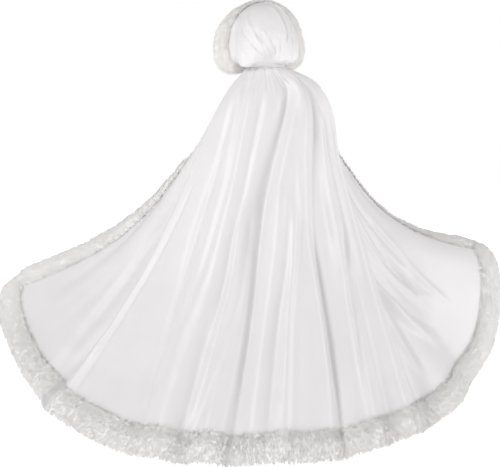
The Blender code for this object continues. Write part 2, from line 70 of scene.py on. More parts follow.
# The cape: three flared panels of heavy velour with a satin-like lustre, cut as one half circle and
# gathered into the neck seam. The back falls from the shoulders in deep folds, and the two fronts are
# held out at the sides like wings. Its ribs are lines of the cloth from the neck to the hem.
RIB_COLUMNS = ("neck", "shoulder_x", "shoulder_y", "shoulder_z", "middle_x", "middle_y", "middle_z",
               "hem_x", "hem_y", "hem_z")
RIBS = {
    "left_edge":    (172, 0.062, -0.135, -0.130, 0.515, -0.22, -0.59, 1.17, -0.30, -0.935),
    "left_wing_a":  (152, 0.104, -0.115, -0.120, 0.55, -0.17, -0.66, 1.20, -0.19, -1.08),
    "left_wing_b":  (132, 0.140, -0.085, -0.110, 0.54, -0.11, -0.71, 1.115, -0.03, -1.22),
    "left_wing_c":  (112, 0.154, -0.045, -0.100, 0.50, -0.05, -0.74, 1.025, 0.13, -1.30),
    "left_valley":  (95, 0.158, -0.010, -0.100, 0.43, 0.02, -0.75, 0.930, 0.28, -1.36),
    "left_ridge":   (78, 0.158, 0.030, -0.095, 0.435, 0.13, -0.75, 0.835, 0.43, -1.38),
    "back_a":       (50, 0.120, 0.095, -0.095, 0.28, 0.31, -0.75, 0.53, 0.73, -1.41),
    "back_b":       (20, 0.040, 0.130, -0.095, 0.09, 0.38, -0.75, 0.18, 0.82, -1.42),
    "back_c":       (-12, -0.060, 0.135, -0.095, -0.09, 0.385, -0.75, -0.13, 0.81, -1.42),
    "back_d":       (-45, -0.155, 0.105, -0.085, -0.24, 0.33, -0.76, -0.39, 0.70, -1.41),
    "right_ridge":  (-76, -0.222, 0.030, -0.078, -0.392, 0.16, -0.76, -0.59, 0.49, -1.42),
    "right_valley": (-92, -0.220, -0.010, -0.090, -0.42, 0.05, -0.76, -0.745, 0.27, -1.425),
    "right_wing_c": (-110, -0.202, -0.050, -0.120, -0.46, -0.04, -0.75, -0.88, 0.05, -1.37),
    "right_wing_b": (-130, -0.175, -0.090, -0.130, -0.50, -0.13, -0.71, -1.03, -0.16, -1.23),
    "right_roll":   (-152, -0.138, -0.125, -0.145, -0.49, -0.22, -0.60, -1.09, -0.37, -0.94),
    "right_edge":   (-172, -0.090, -0.145, -0.160, -0.44, -0.31, -0.60, -1.00, -0.50, -0.80),
}
NECK_RADIUS = 0.076
CLOTH_WALL = 0.002
SEAM_GAP = 0.0003
SHOULDER_T = 0.10
UPPER_T = 0.26
MIDDLE_T = 0.50
HEM_SEAM_T = 0.93
LEFT_SEAM_RIB = 4.45
RIGHT_SEAM_RIB = 10.55
LAST_RIB = len(RIBS) - 1.0
RIB_LENGTH = 1.60
RIB_SPACING = 0.13
RIB_ANGLE = math.radians(12.5)      # between two ribs in the flat cut

# The folds that run down the cloth, as ridges (plus) and troughs (minus). The first four columns say on
# which rib the fold lies at the shoulder, at the upper and middle rows and at the hem.
FOLD_COLUMNS = ("top", "upper", "middle", "hem", "top_half", "hem_half", "start", "middle_mm", "hem_mm")
FOLDS = {
    "left_wing_swell":    (2.60, 2.60, 2.40, 2.20, 0.80, 0.80, 0.15, 10, 14),
    "left_wing_trough":   (4.50, 4.55, 4.45, 3.70, 0.26, 0.42, 0.12, -22, -30),
    "left_ridge":         (5.25, 5.15, 5.06, 4.86, 0.26, 0.27, 0.04, 22, 34),
    "left_trough":        (5.32, 5.72, 5.76, 6.05, 0.20, 0.24, 0.06, -13, -26),
    "back_bright_ridge":  (6.60, 6.44, 6.27, 6.26, 0.28, 0.22, 0.01, 17, 27),
    "back_notch":         (6.50, 6.50, 6.46, 6.58, 0.10, 0.16, 0.50, 0, -26),
    "back_low_ridge":     (7.05, 6.90, 6.78, 6.84, 0.18, 0.17, 0.30, 8, 20),
    "back_deep_trough":   (8.35, 7.52, 7.22, 7.12, 0.34, 0.19, 0.01, -21, -26),
    "back_middle_ridge":  (8.60, 8.05, 7.92, 7.68, 0.26, 0.24, 0.08, 13, 24),
    "back_right_trough":  (8.85, 8.54, 8.72, 8.56, 0.22, 0.19, 0.04, -15, -32),
    "back_right_ridge":   (9.10, 9.02, 9.16, 9.04, 0.20, 0.20, 0.10, 9, 20),
    "back_thin_trough":   (9.25, 9.42, 9.56, 9.46, 0.11, 0.14, 0.05, -8, -15),
    "right_ridge":        (9.95, 10.35, 10.08, 9.92, 0.28, 0.26, 0.03, 18, 30),
    "right_wing_trough":  (10.60, 10.80, 10.70, 10.60, 0.26, 0.34, 0.12, -18, -50),
    "right_wing_swell":   (11.60, 11.60, 11.55, 11.50, 0.40, 0.40, 0.30, 8, 26),
    "right_wing_low":     (12.50, 12.50, 12.40, 12.35, 0.35, 0.35, 0.50, 0, -24),
}

# The drawn folds: straight ones across the ribs of the right front, where it is pulled outwards.
DRAWN_COLUMNS = ("from_rib", "from_t", "to_rib", "to_t", "half_width", "height_mm")
DRAWN_FOLDS = {
    "upper_trough": (10.9, 0.36, 12.9, 0.68, 0.022, -13),
    "upper_ridge":  (10.8, 0.42, 13.0, 0.78, 0.024, 14),
    "lower_trough": (10.9, 0.55, 12.3, 0.80, 0.020, -11),
    "lower_ridge":  (10.9, 0.62, 12.1, 0.84, 0.022, 12),
}

# The creases: finer ones than the folds, each along a bowed line through four places, given as rib and t.
CREASE_COLUMNS = ("rib_a", "t_a", "rib_b", "t_b", "rib_c", "t_c", "rib_d", "t_d", "half_mm", "height_mm")
CREASES = {
    "left_flap_edge":    (5.02, 0.10, 5.06, 0.42, 5.00, 0.72, 4.90, 1.10, 11, 9),
    "left_flap_line":    (5.30, 0.30, 5.19, 0.52, 5.10, 0.72, 5.08, 1.06, 9, -7),
    "left_flap_trough":  (4.00, 0.16, 3.30, 0.42, 3.15, 0.62, 3.60, 1.04, 30, -14),
    "left_side_trough":  (6.04, 0.08, 5.84, 0.34, 5.82, 0.56, 6.20, 1.14, 20, -12),
    "left_low_ridge":    (5.88, 0.32, 5.94, 0.45, 6.02, 0.56, 6.10, 0.68, 14, 5),
    "upper_hollow":      (8.60, 0.00, 8.02, 0.15, 7.36, 0.34, 7.12, 0.66, 32, -17),
    "upper_swell":       (8.96, 0.00, 8.72, 0.16, 8.24, 0.34, 8.02, 0.60, 28, 9),
    "pale_trough":       (6.44, 0.02, 6.44, 0.24, 6.26, 0.44, 6.16, 0.70, 18, -9),
    "pale_ridge":        (6.88, 0.06, 6.56, 0.32, 6.44, 0.58, 6.26, 1.00, 24, 6),
    "middle_trough_a":   (7.36, 0.06, 6.80, 0.34, 6.68, 0.58, 6.40, 1.08, 18, -9),
    "middle_ridge_a":    (6.84, 0.36, 6.80, 0.56, 6.64, 0.74, 6.48, 1.10, 22, 9),
    "low_trough_a":      (7.06, 0.32, 6.93, 0.58, 6.78, 0.74, 6.62, 1.10, 22, -12),
    "low_ridge_a":       (7.26, 0.34, 7.12, 0.58, 7.02, 0.76, 6.90, 1.10, 22, 7),
    "deep_trough":       (8.50, 0.05, 7.50, 0.34, 7.22, 0.62, 7.00, 1.14, 21, -16),
    "deep_ridge":        (7.84, 0.30, 7.60, 0.52, 7.42, 0.70, 7.26, 1.06, 24, 9),
    "middle_trough_b":   (8.16, 0.26, 7.88, 0.52, 7.66, 0.70, 7.48, 1.10, 22, -11),
    "middle_ridge_b":    (8.28, 0.36, 7.98, 0.56, 7.82, 0.74, 7.70, 1.10, 14, 6),
    "middle_trough_c":   (8.54, 0.36, 8.12, 0.56, 7.94, 0.74, 7.78, 1.10, 14, -6),
    "right_ridge_a":     (8.84, 0.02, 8.60, 0.34, 8.60, 0.62, 8.34, 1.12, 18, 9),
    "right_trough":      (9.34, 0.00, 8.96, 0.32, 8.78, 0.60, 8.56, 1.14, 23, -18),
    "right_ridge_b":     (9.12, 0.06, 9.44, 0.36, 9.20, 0.58, 8.78, 1.10, 20, 9),
    "thin_trough":       (9.34, 0.10, 9.70, 0.38, 9.40, 0.58, 8.90, 1.10, 13, -9),
    "right_flap_edge":   (9.70, 0.06, 10.04, 0.34, 9.82, 0.60, 9.78, 1.10, 13, 11),
    "right_flap_trough": (10.10, 0.08, 10.42, 0.34, 10.28, 0.60, 10.20, 1.10, 16, -10),
    "left_wing_fan_a":   (3.70, 0.08, 3.00, 0.34, 2.60, 0.62, 2.60, 0.96, 30, -5),
    "left_wing_fan_b":   (2.70, 0.10, 2.10, 0.36, 1.80, 0.62, 1.70, 0.92, 34, 5),
    "left_wing_fan_c":   (1.60, 0.12, 1.50, 0.36, 1.40, 0.60, 1.34, 0.88, 24, -4),
    "right_pull_a":      (11.90, 0.28, 12.50, 0.42, 12.98, 0.53, 13.08, 0.74, 20, -10),
    "right_pull_b":      (12.98, 0.46, 13.10, 0.58, 13.06, 0.70, 13.06, 0.86, 18, 9),
    "right_pull_c":      (11.90, 0.40, 12.34, 0.53, 12.58, 0.64, 12.56, 0.80, 17, -9),
    "right_pull_d":      (10.80, 0.58, 11.10, 0.67, 11.50, 0.76, 12.10, 0.86, 17, 9),
    "right_pull_e":      (10.60, 0.56, 10.84, 0.68, 10.94, 0.78, 11.04, 0.90, 18, -9),
    "right_wing_fan":    (13.10, 0.10, 13.40, 0.26, 13.70, 0.42, 13.90, 0.60, 18, -5),
}

# The gathers: short creases that fan out from the neck seam.
GATHER_COLUMNS = ("rib", "lean", "reach_t", "half_mm", "height_mm")
GATHERS = {
    "throat_left":   (0.85, 0.10, 0.10, 5, 2.0),
    "front_left_a":  (1.55, -0.05, 0.16, 6, -2.4),
    "front_left_b":  (2.30, 0.12, 0.12, 5, 2.2),
    "front_left_c":  (3.10, -0.10, 0.15, 6, -2.6),
    "side_left_a":   (3.85, 0.08, 0.11, 5, 2.2),
    "side_left_b":   (4.60, 0.12, 0.13, 6, -2.4),
    "back_left_a":   (5.75, -0.08, 0.10, 5, -2.2),
    "back_left_b":   (6.20, -0.05, 0.15, 6, 2.4),
    "back_a":        (6.75, -0.10, 0.12, 5, -2.8),
    "back_b":        (7.10, -0.12, 0.17, 5, 2.6),
    "back_c":        (7.42, 0.02, 0.11, 4, -3.0),
    "back_d":        (7.70, 0.06, 0.16, 5, 2.6),
    "back_e":        (8.02, 0.10, 0.10, 4, -2.8),
    "back_f":        (8.38, 0.14, 0.15, 5, 2.4),
    "back_right_a":  (8.80, 0.05, 0.11, 5, -2.6),
    "back_right_b":  (9.35, 0.10, 0.14, 6, 2.2),
    "side_right_a":  (10.10, -0.06, 0.12, 6, -2.4),
    "side_right_b":  (10.90, 0.08, 0.14, 6, 2.2),
    "front_right_a": (11.80, 0.10, 0.12, 5, -2.4),
    "front_right_b": (12.70, -0.08, 0.16, 6, 2.4),
    "front_right_c": (13.50, 0.06, 0.11, 5, -2.2),
    "throat_right":  (14.20, -0.05, 0.12, 5, 2.0),
}


def column(table, columns, name):
    """One named column of a table, as an array."""
    return np.array([row[columns.index(name)] for row in table.values()], float)


def points_of(table, columns, name):
    """The x, y and z columns that share a name, as points."""
    return np.stack([column(table, columns, f"{name}_{axis}") for axis in "xyz"], axis=-1)


def blend(low, high, x):
    """Rises from 0 at low to 1 at high, as three squares less two cubes of the share of the way."""
    s = np.clip((x - low) / (high - low), 0.0, 1.0)
    return s * s * (3.0 - 2.0 * s)


def unit(vectors):
    """Vectors scaled to a length of one."""
    return vectors / np.linalg.norm(vectors, axis=-1, keepdims=True)


def spline(knots, values, x):
    """A natural cubic spline through the values at the knots, read at x."""
    knots = np.asarray(knots, float)
    values = np.asarray(values, float)
    count = len(knots)
    step = np.diff(knots)
    matrix = np.eye(count)
    right = np.zeros_like(values)
    for i in range(1, count - 1):
        matrix[i, i - 1:i + 2] = step[i - 1], 2.0 * (step[i - 1] + step[i]), step[i]
        slope_after = (values[i + 1] - values[i]) / step[i]
        slope_before = (values[i] - values[i - 1]) / step[i - 1]
        right[i] = 6.0 * (slope_after - slope_before)
    bend = np.linalg.solve(matrix, right.reshape(count, -1)).reshape(values.shape)
    x = np.asarray(x, float)
    i = np.clip(np.searchsorted(knots, x, side="right") - 1, 0, count - 2)
    spread = x.shape + (1,) * (values.ndim - 1)
    width = step[i].reshape(spread)
    a = ((knots[i + 1] - x) / step[i]).reshape(spread)
    b = 1.0 - a
    curve = (a ** 3 - a) * bend[i] + (b ** 3 - b) * bend[i + 1]
    return a * values[i] + b * values[i + 1] + curve * width ** 2 / 6.0


def on_neck(degrees, radius=NECK_RADIUS, z=0.0):
    """Points of the neckline circle, by compass direction from the nape."""
    angle = np.radians(degrees)
    return np.stack([radius * np.sin(angle), radius * np.cos(angle), np.full_like(angle, z)], axis=-1)


shoulder_row = points_of(RIBS, RIB_COLUMNS, "shoulder")
middle_row = points_of(RIBS, RIB_COLUMNS, "middle")
RIB_T = (0.0, SHOULDER_T, UPPER_T, MIDDLE_T, 1.0)
RIB_POINTS = np.stack([
    on_neck(column(RIBS, RIB_COLUMNS, "neck"), z=-0.5 * CLOTH_WALL - SEAM_GAP),
    shoulder_row,
    shoulder_row + (middle_row - shoulder_row) * (UPPER_T - SHOULDER_T) / (MIDDLE_T - SHOULDER_T),
    middle_row,
    points_of(RIBS, RIB_COLUMNS, "hem"),
])


def smooth_cape(u, t):
    """The cape with no folds: splines down the ribs, joined by splines across them.

    u counts the ribs from the left front edge, and t runs from 0 at the neck to 1 at the hem.
    """
    down = spline(RIB_T, np.eye(len(RIB_T)), t)
    across = spline(np.arange(len(RIBS)), np.eye(len(RIBS)), u)
    return np.einsum("...i,...j,ijk->...k", down, across, RIB_POINTS)


def normals_of(surface, u, t, step_u=0.02, step_t=0.004):
    """Unit normals of a surface: the cross product of its slopes along t and along u."""
    along_u = surface(u + step_u, t) - surface(u - step_u, t)
    along_t = surface(u, t + step_t) - surface(u, t - step_t)
    return unit(np.cross(along_t, along_u))


def fold_height(u, t):
    """Height of the folds over the smooth cape: a bell across each fold, growing down its length."""
    height = np.zeros(np.broadcast(u, t).shape)
    for row in FOLDS.values():
        fold = dict(zip(FOLD_COLUMNS, row))
        ribs = [fold[name] for name in ("top", "upper", "middle", "hem")]
        rib = spline((SHOULDER_T, UPPER_T, MIDDLE_T, 1.0), ribs, np.maximum(t, SHOULDER_T))
        half = fold["top_half"] + (fold["hem_half"] - fold["top_half"]) * t
        grown = blend(fold["start"], max(MIDDLE_T, fold["start"] + 0.1), t) * fold["middle_mm"]
        grown = grown + blend(MIDDLE_T, 1.0, t) * (fold["hem_mm"] - fold["middle_mm"])
        height = height + 0.001 * grown * np.exp(-(((u - rib) / half) ** 2))
    for row in DRAWN_FOLDS.values():
        fold = dict(zip(DRAWN_COLUMNS, row))
        start = np.array([fold["from_rib"] * RIB_SPACING, fold["from_t"] * RIB_LENGTH])
        way = np.array([fold["to_rib"] * RIB_SPACING, fold["to_t"] * RIB_LENGTH]) - start
        place = np.stack(np.broadcast_arrays(u * RIB_SPACING, t * RIB_LENGTH), axis=-1) - start
        along = place @ way / (way @ way)
        off = np.linalg.norm(place - along[..., None] * way, axis=-1)
        ends = blend(-0.1, 0.25, along) * (1.0 - blend(0.7, 1.1, along))
        height = height + 0.001 * fold["height_mm"] * ends * np.exp(-((off / fold["half_width"]) ** 2))
    return height


def cape(u, t):
    """The middle of the cape's cloth wall: the smooth cape with its folds raised along its normals."""
    return smooth_cape(u, t) + normals_of(smooth_cape, u, t) * fold_height(u, t)[..., None]


LINE_SHARE = np.linspace(0.0, 1.0, 25)      # how far along a line each of its points lies
PLACE_SHARE = (0.0, 0.33, 0.67, 1.0)        # and the four places of a crease
LINE_FADE_IN = 0.12        # how much of a line its height takes to rise
LINE_FADE_OUT = 0.24       # and to die away
UNEVENNESS = 0.004


def line_height(points, line, half, height):
    """A bell across a line in space, by each point's distance to it, that dies away at the line's ends.

    The line is a row of points. Its nearest one says how far along the line a point lies.
    """
    raised = np.zeros(points.shape[:-1])
    low = line.min(axis=0) - 3.0 * half
    high = line.max(axis=0) + 3.0 * half
    near = ((points > low) & (points < high)).all(axis=-1)
    close = points[near]
    start, way = line[:-1], np.diff(line, axis=0)
    offset = close[:, None] - start
    share = np.clip((offset * way).sum(axis=-1) / (way * way).sum(axis=-1), 0.0, 1.0)
    away = np.linalg.norm(offset - share[..., None] * way, axis=-1)
    nearest = away.argmin(axis=1)
    rows = np.arange(len(close))
    along = (nearest + share[rows, nearest]) / len(way)
    ends = blend(0.0, LINE_FADE_IN, along) * (1.0 - blend(1.0 - LINE_FADE_OUT, 1.0, along))
    raised[near] = height * ends * np.exp(-((away[rows, nearest] / half) ** 2))
    return raised


def bowed(crease, name):
    """One coordinate of a crease's line: a spline through the crease's four places."""
    return spline(PLACE_SHARE, [crease[f"{name}_{end}"] for end in "abcd"], LINE_SHARE)


def crease_height(points):
    """Height of all creases and gathers at points of the smooth cape.

    The first part of a gather's line stays on the neck seam, so that the gather is full where it leaves it.
    """
    height = np.zeros(points.shape[:-1])
    for row in CREASES.values():
        crease = dict(zip(CREASE_COLUMNS, row))
        line = smooth_cape(bowed(crease, "rib"), bowed(crease, "t"))
        height += line_height(points, line, 0.001 * crease["half_mm"], 0.001 * crease["height_mm"])
    for row in GATHERS.values():
        gather = dict(zip(GATHER_COLUMNS, row))
        rib = gather["rib"] + gather["lean"] * LINE_SHARE
        t = np.maximum((1.3 * LINE_SHARE - 0.3) * gather["reach_t"], 0.0) + 0.002 * LINE_SHARE
        line = smooth_cape(rib, t)
        height += line_height(points, line, 0.001 * gather["half_mm"], 0.001 * gather["height_mm"])
    return height


def ripple(points, waves, size, seed):
    """Slow unevenness: the mean of sine waves in random directions, each of a random length near size."""
    rng = np.random.default_rng(seed)
    ways = unit(rng.normal(size=(waves, 3))) * 2.0 * math.pi / (size * rng.uniform(0.6, 1.6, (waves, 1)))
    phases = rng.uniform(0.0, 2.0 * math.pi, waves)
    return np.sin(points @ ways.T + phases).mean(axis=-1)


def creased_cape(u, t):
    """The middle of the cape's cloth as it lies: the smooth cape raised along its normals.

    It is raised by the folds, the creases and gathers, and a slow unevenness that starts below the neck.
    """
    smooth = smooth_cape(u, t)
    uneven = UNEVENNESS * blend(0.02, 0.15, t) * ripple(smooth, 24, 0.16, 5)
    height = fold_height(u, t) + crease_height(smooth) + uneven
    return smooth + normals_of(smooth_cape, u, t) * height[..., None]


def mesh_of(name, points, faces):
    """A mesh object from an array of points and a list of arrays of triangles or quads."""
    mesh = bpy.data.meshes.new(name)
    corners = np.concatenate([part.ravel() for part in faces])
    sizes = np.concatenate([np.full(len(part), part.shape[1]) for part in faces])
    mesh.vertices.add(points.size // 3)
    mesh.vertices.foreach_set("co", points.ravel())
    mesh.loops.add(len(corners))
    mesh.loops.foreach_set("vertex_index", corners)
    mesh.polygons.add(len(sizes))
    mesh.polygons.foreach_set("loop_start", np.cumsum(sizes) - sizes)
    mesh.update(calc_edges=True)
    mesh.shade_smooth()
    piece = bpy.data.objects.new(name, mesh)
    bpy.context.scene.collection.objects.link(piece)
    return piece


def shell_of(name, middle, cut, finishes, margin=0):
    """A closed thin shell round a grid of points: half the wall out and in along the grid's normals.

    The outer face takes the first finish and the inner face the second. cut is each point's place in
    the flat cloth, for the UV map. The margin's first and last rows of the grid, which lie in the next
    piece, only steer the normals, so that two pieces meet along their seam with no gap.
    """
    normal = unit(np.cross(np.gradient(middle, axis=1), np.gradient(middle, axis=0)))
    middle, normal, cut = (grid[margin:len(grid) - margin] for grid in (middle, normal, cut))
    points = np.stack([middle + 0.5 * CLOTH_WALL * normal, middle - 0.5 * CLOTH_WALL * normal])
    rows, columns = middle.shape[:2]
    index = np.arange(rows * columns).reshape(rows, columns)
    a, b, c, d = index[:-1, :-1], index[:-1, 1:], index[1:, 1:], index[1:, :-1]
    outer = np.stack([a, b, c, d], axis=-1).reshape(-1, 4)
    inner = np.stack([a, d, c, b], axis=-1).reshape(-1, 4) + index.size
    rim = np.concatenate([index[:, 0], index[-1, 1:], index[-2::-1, -1], index[0, -2:0:-1]])
    ahead = np.roll(rim, -1)
    edge = np.stack([rim, ahead, ahead + index.size, rim + index.size], axis=-1)
    piece = mesh_of(name, points, [outer, inner, edge])
    sides = np.repeat([0, 1, 1], [len(outer), len(inner), len(edge)])
    piece.data.polygons.foreach_set("material_index", sides)
    piece.data.set_sharp_from_angle(angle=math.radians(50.0))
    for finish in finishes:
        piece.data.materials.append(finish)
    flat = np.concatenate([cut.reshape(-1, 2)] * 2)
    corners = np.concatenate([outer.ravel(), inner.ravel(), edge.ravel()])
    piece.data.uv_layers.new(name="cut").data.foreach_set("uv", flat[corners].ravel())
    return piece


BAND_AT_THROAT = 0.050
BAND_WIDTH = 0.105
WIDEST_SPAN = 3.0          # a front band's width in ribs, at the most


def fur_spans(t, edge, inwards):
    """How many ribs a front fur band spans at t, from the free edge inwards.

    The band widens from the throat to the middle of the cape, and its width is measured along the smooth
    cloth: the lengths of small steps across the ribs are added up until they reach it.
    """
    reach = np.linspace(0.0, WIDEST_SPAN, 121)
    u = np.broadcast_to(edge + inwards * reach, t.shape + reach.shape)
    line = smooth_cape(u, np.broadcast_to(t[..., None], u.shape))
    steps = np.linalg.norm(np.diff(line, axis=-2), axis=-1)
    length = np.concatenate([np.zeros(t.shape + (1,)), np.cumsum(steps, axis=-1)], axis=-1)
    wanted = (BAND_AT_THROAT + (BAND_WIDTH - BAND_AT_THROAT) * blend(0.0, MIDDLE_T, t))[..., None]
    before = np.clip((length < wanted).sum(axis=-1, keepdims=True) - 1, 0, reach.size - 2)
    low = np.take_along_axis(length, before, axis=-1)
    high = np.take_along_axis(length, before + 1, axis=-1)
    return ((before + (wanted - low) / (high - low)) * reach[1])[..., 0]


class Tone:
    """A socket of a tree of nodes that takes part in sums: each operator adds one Math node."""

    def __init__(self, tree, socket=None):
        self.tree = tree
        self.socket = socket

    def node(self, kind, settings, output=None, **sockets):
        """Adds a node of a kind, sets its settings, then fills or links its sockets by name or number.

        A socket's name has its spaces written as underscores, and a number follows an i. The new Tone is
        the output of the given name, or else the first one that is on.
        """
        made = self.tree.nodes.new(kind)
        for name, value in settings.items():
            setattr(made, name, value)
        for name, value in sockets.items():
            key = int(name[1:]) if name[1:].isdigit() else name.replace("_", " ")
            if isinstance(value, Tone):
                self.tree.links.new(value.socket, made.inputs[key])
            else:
                made.inputs[key].default_value = value
        first = next(socket for socket in made.outputs if socket.enabled)
        return Tone(self.tree, made.outputs[output] if output else first)

    def sum(self, operation, first, second):
        """One Math node on two values or Tones."""
        return self.node("ShaderNodeMath", {"operation": operation}, i0=first, i1=second)

    def __add__(self, other):
        return self.sum("ADD", self, other)

    def __mul__(self, other):
        return self.sum("MULTIPLY", self, other)

    def __pow__(self, other):
        return self.sum("POWER", self, other)

    __radd__ = __add__
    __rmul__ = __mul__

    def mix(self, first, second):
        """A colour between two colours, by this value."""
        return self.node("ShaderNodeMix", {"data_type": "RGBA"}, Factor=self, i6=first, i7=second)

    def noise(self, scale, detail=2.0):
        """Cloudy noise over this position, from 0 to 1."""
        return self.node("ShaderNodeTexNoise", {}, Vector=self, Scale=scale, Detail=detail)

    def stretched(self, x, y, z):
        """This position with its three axes scaled."""
        return self.node("ShaderNodeMapping", {"vector_type": "POINT"}, Vector=self, Scale=(x, y, z))

    def kept(self, name):
        """The number that each point of the mesh keeps under a name."""
        return self.node("ShaderNodeAttribute", {"attribute_name": name}, output="Fac")

    def raised(self, height, strength, distance):
        """A normal that is bumped by a height, up to a distance in metres."""
        return self.node("ShaderNodeBump", {}, Strength=strength, Distance=distance, Height=height)

    def feeds(self, shader, name):
        """Links this to one of a shader's sockets."""
        self.tree.links.new(self.socket, shader.inputs[name])


def new_finish(name, colour):
    """A material with its Principled shader, and the Tone of its Object coordinates to build on."""
    finish = bpy.data.materials.new(name)
    finish.use_nodes = True
    finish.diffuse_color = colour
    shader = finish.node_tree.nodes["Principled BSDF"]
    return finish, shader, Tone(finish.node_tree).node("ShaderNodeTexCoord", {}, output="Object")


def velour(name, light, dark, nap_depth):
    """White velour: a short lustrous pile with soft clouding where it was brushed, over a fine weave.

    The pile's grain follows the flat cut by the UV map, and the clouding follows the object.
    """
    finish, shader, place = new_finish(name, light)
    cut = place.node("ShaderNodeUVMap", {"uv_map": "cut"})
    clouds = place.noise(4.0, 3.0)
    brushed = place.stretched(3.0, 3.0, 0.8).noise(6.0, 2.0)
    pile = cut.stretched(900.0, 220.0, 1.0).noise(1.0, 2.0)
    weave = cut.noise(1400.0, 1.0)
    tone = 0.6 * clouds + 0.3 * brushed + 0.1 * pile
    tone.mix(dark, light).feeds(shader, "Base Color")
    (0.31 + 0.12 * clouds + 0.06 * pile).feeds(shader, "Roughness")
    place.raised(0.7 * pile + 0.3 * weave, 0.35, nap_depth).feeds(shader, "Normal")
    shader.inputs["Sheen Weight"].default_value = 0.12
    shader.inputs["Sheen Roughness"].default_value = 0.45
    return finish


face = velour("velour_face", (0.81, 0.793, 0.80, 1.0), (0.74, 0.723, 0.73, 1.0), 0.0006)
reverse = velour("velour_reverse", (0.79, 0.775, 0.785, 1.0), (0.73, 0.715, 0.725, 1.0), 0.0003)
CAPE_ROWS = 160
CLOSER_AT_NECK = 1.15        # the power that draws the rows together towards the neck
cape_t = HEM_SEAM_T * np.linspace(0.0, 1.0, CAPE_ROWS + 1) ** CLOSER_AT_NECK
left_seam = fur_spans(cape_t, 0.0, 1.0)
right_seam = LAST_RIB - fur_spans(cape_t, LAST_RIB, -1.0)

# Each panel runs from one rib to another, on its own number of cells.
PANELS = {
    "cape_left_front": (left_seam, LEFT_SEAM_RIB, 90),
    "cape_back": (LEFT_SEAM_RIB, RIGHT_SEAM_RIB, 260),
    "cape_right_front": (RIGHT_SEAM_RIB, right_seam, 90),
}
for name, (first_rib, last_rib, cells) in PANELS.items():
    share = np.linspace(-1.0 / cells, 1.0 + 1.0 / cells, cells + 3)[:, None]
    u = first_rib + (last_rib - first_rib) * share + 0.0 * cape_t
    t = cape_t + 0.0 * u
    cloth = creased_cape(u, t)
    angle = (u - 0.5 * LAST_RIB) * RIB_ANGLE
    radius = NECK_RADIUS + RIB_LENGTH * t
    cut = np.stack([radius * np.sin(angle), radius * np.cos(angle)], axis=-1)
    panel = shell_of(name + "_cloth", cloth, cut, (face, reverse), margin=1)
    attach(panel, "root")
    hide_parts(name)
    hem_length = np.linalg.norm(np.diff(cloth[1:-1, -1], axis=0), axis=-1).sum()
    spread = hem_length / radius[0, -1]
    area = 0.5 * spread * (radius[0, -1] ** 2 - NECK_RADIUS ** 2)
    width = 2.0 * radius[0, -1] * math.sin(0.5 * spread)
    round(radius[0, -1] - NECK_RADIUS, 2)


# The fur bands: plush faux fur on a knitted backing, folded round a soft roll about 3 cm thick and sewn
# to the raw edges of the cape, with mitres at the two hem corners. The pile is laid from the seam to
# the free edge, and stands in short fine locks.
FUR_HALF_THICKNESS = 0.016
FUR_BODY_SHARE = 0.80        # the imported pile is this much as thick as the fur, and the lock tips the rest
FUR_FLATNESS = 0.25          # a band's thickness over its width
SEAM_THINNING = 0.9          # how much of its thickness the pile loses towards the seam
BODY_SEED = 3
BODY_HEIGHT = 0.40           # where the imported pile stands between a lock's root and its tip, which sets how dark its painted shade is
INNER_SHARE = 0.4            # of a band's locks, those that stand on its inner face
INNER_START = 0.45 * math.pi
LAST_TURN = 0.97 * math.pi
PILE_DROOP = (0.0, 0.0, -0.30)
EDGE_TURN = 0.08 * math.pi
CORNER_DRAW = 0.038
CORNER_BELL = 0.055
LOCK_SIDES = 3
LOCK_SCALES = (0.7, 1.2)     # the smallest and the largest lock, against the usual one
FINE_SWIRL = 0.035
BROAD_SWIRL = 0.12
BROAD_SWIRL_SHARE = 0.8      # how strong the broad swirl is against the fine one
ACROSS = 0.5 - 0.5 * np.cos(np.linspace(0.0, math.pi, 17))     # from the free edge to the seam


def read_grid(values, x, y):
    """A grid read between its points: the mean of the four nearest ones by their nearness."""
    rows, columns = values.shape[:2]
    x = np.clip(x, 0.0, 1.0) * (rows - 1)
    y = np.clip(y, 0.0, 1.0) * (columns - 1)
    i = np.minimum(x.astype(int), rows - 2)
    j = np.minimum(y.astype(int), columns - 2)
    p = (x - i)[:, None]
    q = (y - j)[:, None]
    return ((1.0 - p) * (1.0 - q) * values[i, j] + p * (1.0 - q) * values[i + 1, j]
            + (1.0 - p) * q * values[i, j + 1] + p * q * values[i + 1, j + 1])


def band_frame(middle, normal, half):
    """What a fur band needs at each point of its middle grid, stacked: place, outwards, edgewards, half.

    Column 0 of the grid is the free edge and the last one the seam.
    """
    edgewards = unit(middle[:, :1] - middle[:, -1:]) + 0.0 * middle
    return np.concatenate([middle, normal, edgewards, half[..., None] + 0.0 * middle[..., :1]], axis=-1)


def clumps(place, seed):
    """Height of the pile's soft clumps: two sizes of slow unevenness, about 2 mm either way in all."""
    return 0.009 * ripple(place, 24, 0.090, seed) + 0.0035 * ripple(place, 24, 0.030, seed + 1)


